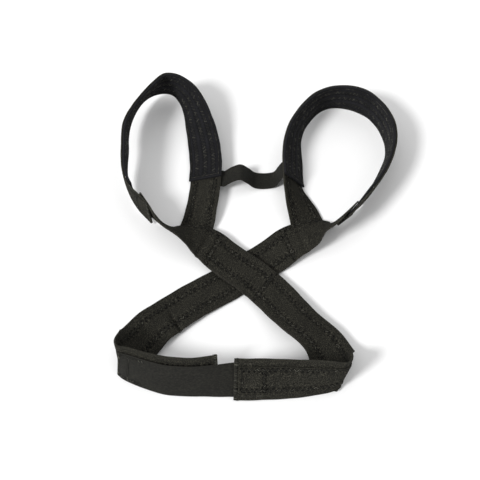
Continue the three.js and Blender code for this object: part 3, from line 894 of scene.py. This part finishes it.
def makeStay(side, sewing):
    strap, shift = straps[side], -layered(cross, stay)
    start, end = [float(strap.run(place)) for place in crossMarks[side]["stay"]]
    depth, reach = staySewing["depth"], staySewing["endReach"]
    relief = Relief(seeds[side] + 9, staySewing["uneven"])
    inset = staySewing["endInset"]
    rows = relief.sewn(*alongRows(crossSewing, start + inset, end - inset, depth),
                       *[plainRow((run, -reach), (run, reach))
                         for run in (start + staySewing["endRow"], end - staySewing["endRow"])])
    if side == "left":
        reach = staySewing["beltReach"]
        rows += relief.sewn(Row((beltSeam, -reach), (beltSeam, reach), crossSewing["zigzag"],
                                crossSewing["pitch"], depth))
    sheetPiece(f"stayBand_{side}", f"stay_band_{side}", strap, stay, start, end, shift, relief,
               webbing, "webbing", columns=staySewing["columns"], spacing=crossSewing["spacing"],
               edgeDepth=staySewing["edgeDepth"])
    for row in rows:
        sewing.row(strap, row, shift - stay["thickness"] / 2, -1, relief.depth)


beltSeam = float(straps["left"].run(beltPlaces["seam"]))
for side in ("left", "right"):
    makeShoulder(side)
    makeTabPatch(side)
    makeCross(side)
    print(side, "side made")


# Waist elastic, its fastening patch and the neck strap.
beltSewing = {"rows": (-0.0165, 0.0165), "zigzag": 0.0026, "pitch": 0.0036, "start": 0.002, "end": 6,
              "seam": 0.013, "seamReach": 0.015, "uneven": 0.00008, "overcastHalf": 0.019,
              "overcastBite": 0.0025}
neckSewing = {"runs": (0.002, 0.008), "reach": 0.0105, "zigzag": 0.0018, "pitch": 0.0028, "uneven": 0.00008,
              "columns": 18}


def makeElasticBelt():
    relief = Relief(15, beltSewing["uneven"])
    seam, reach = beltSewing["seam"], beltSewing["seamReach"]
    rows = relief.sewn(*alongRows(beltSewing, beltSewing["start"], float(beltRun.run(beltSewing["end"]))),
                       plainRow((seam, -reach), (seam, reach)))
    sheetPiece("beltElastic", "belt_elastic", beltRun, belt, 0, beltRun.length, 0, relief,
               elastic, "elastic", held="stretched")
    sewing = Sewing(31)
    face = belt["thickness"] / 2
    for row in rows:
        sewing.row(beltRun, row, -face, -1, relief.depth)
    half, bite = beltSewing["overcastHalf"], beltSewing["overcastBite"]
    sewing.overcast(beltRun, 0.0, -1, half, (-face, face), bite=bite)
    sewing.link("beltStitches", "elastic")


def makeBeltPatch():
    end = float(straps["left"].run(beltPlaces["end"]))
    sheetPiece("beltHookPatch", "belt_hook_patch", straps["left"], beltPatch, beltSeam, end,
               layered(cross, beltPatch), Relief(3, 0), hookTape, "hook_tape", wander=0)


def makeNeckStrap():
    relief = Relief(18, neckSewing["uneven"])
    reach, (first, second) = neckSewing["reach"], neckSewing["runs"]
    rows = relief.sewn(*[Row((run, -reach), (run, reach), neckSewing["zigzag"], neckSewing["pitch"])
                         for run in (first, second, neckLine.length - second, neckLine.length - first)])
    sheetPiece("neckStrap", "neck_strap", neckLine, neck, 0, neckLine.length, 0, relief, elastic, "elastic",
               columns=neckSewing["columns"])
    sewing = Sewing(41)
    for row in rows:
        for way in (1, -1):
            sewing.row(neckLine, row, way * neck["thickness"] / 2, way, relief.depth)
    sewing.link("neckStitches", "elastic")


makeElasticBelt()
makeBeltPatch()
makeNeckStrap()
print("elastics made")


# Floor and light.
studio = {"floor": 6.0, "pale": (0.9, 0.9, 0.9, 1), "paler": (0.92, 0.92, 0.92, 1), "grain": 40.0,
          "gloss": 0.2, "relief": 0.00002, "sky": 0.76, "sun": 2.75,
          "sunAngle": 16.0, "travel": (0.95, 0.8, -1.0)}


def addFloor():
    half = studio["floor"] / 2
    corners = [(-half, -half, 0), (half, -half, 0), (half, half, 0), (-half, half, 0)]
    mesh = bpy.data.meshes.new("floor")
    mesh.from_pydata(corners, [], [(0, 1, 2, 3)])
    cloth = Cloth("tableTop")
    where = cloth.node("ShaderNodeTexCoord").value("Object")
    grain = cloth.noise(where, studio["grain"])
    colour = cloth.mix(grain * 0.3, studio["pale"], studio["paler"])
    roughness = 0.85 + grain * 0.05
    fixed = {"Specular IOR Level": studio["gloss"]}
    mesh.materials.append(cloth.finish(colour, roughness, grain, studio["relief"], fixed))
    floor = bpy.data.objects.new("floor", mesh)
    bpy.context.scene.collection.objects.link(floor)


def addLight():
    world = bpy.data.worlds.new("studio")
    bpy.context.scene.world = world
    world.use_nodes = True
    background = world.node_tree.nodes["Background"]
    background.inputs["Color"].default_value = (1, 1, 1, 1)
    background.inputs["Strength"].default_value = studio["sky"]
    lamp = bpy.data.lights.new("window", "SUN")
    lamp.energy = studio["sun"]
    lamp.angle = math.radians(studio["sunAngle"])
    holder = bpy.data.objects.new("window", lamp)
    bpy.context.scene.collection.objects.link(holder)
    holder.rotation_euler = Vector(studio["travel"]).to_track_quat("-Z", "Y").to_euler()
    bpy.context.scene.view_settings.view_transform = "Standard"


addFloor()
addLight()
print("stage set")
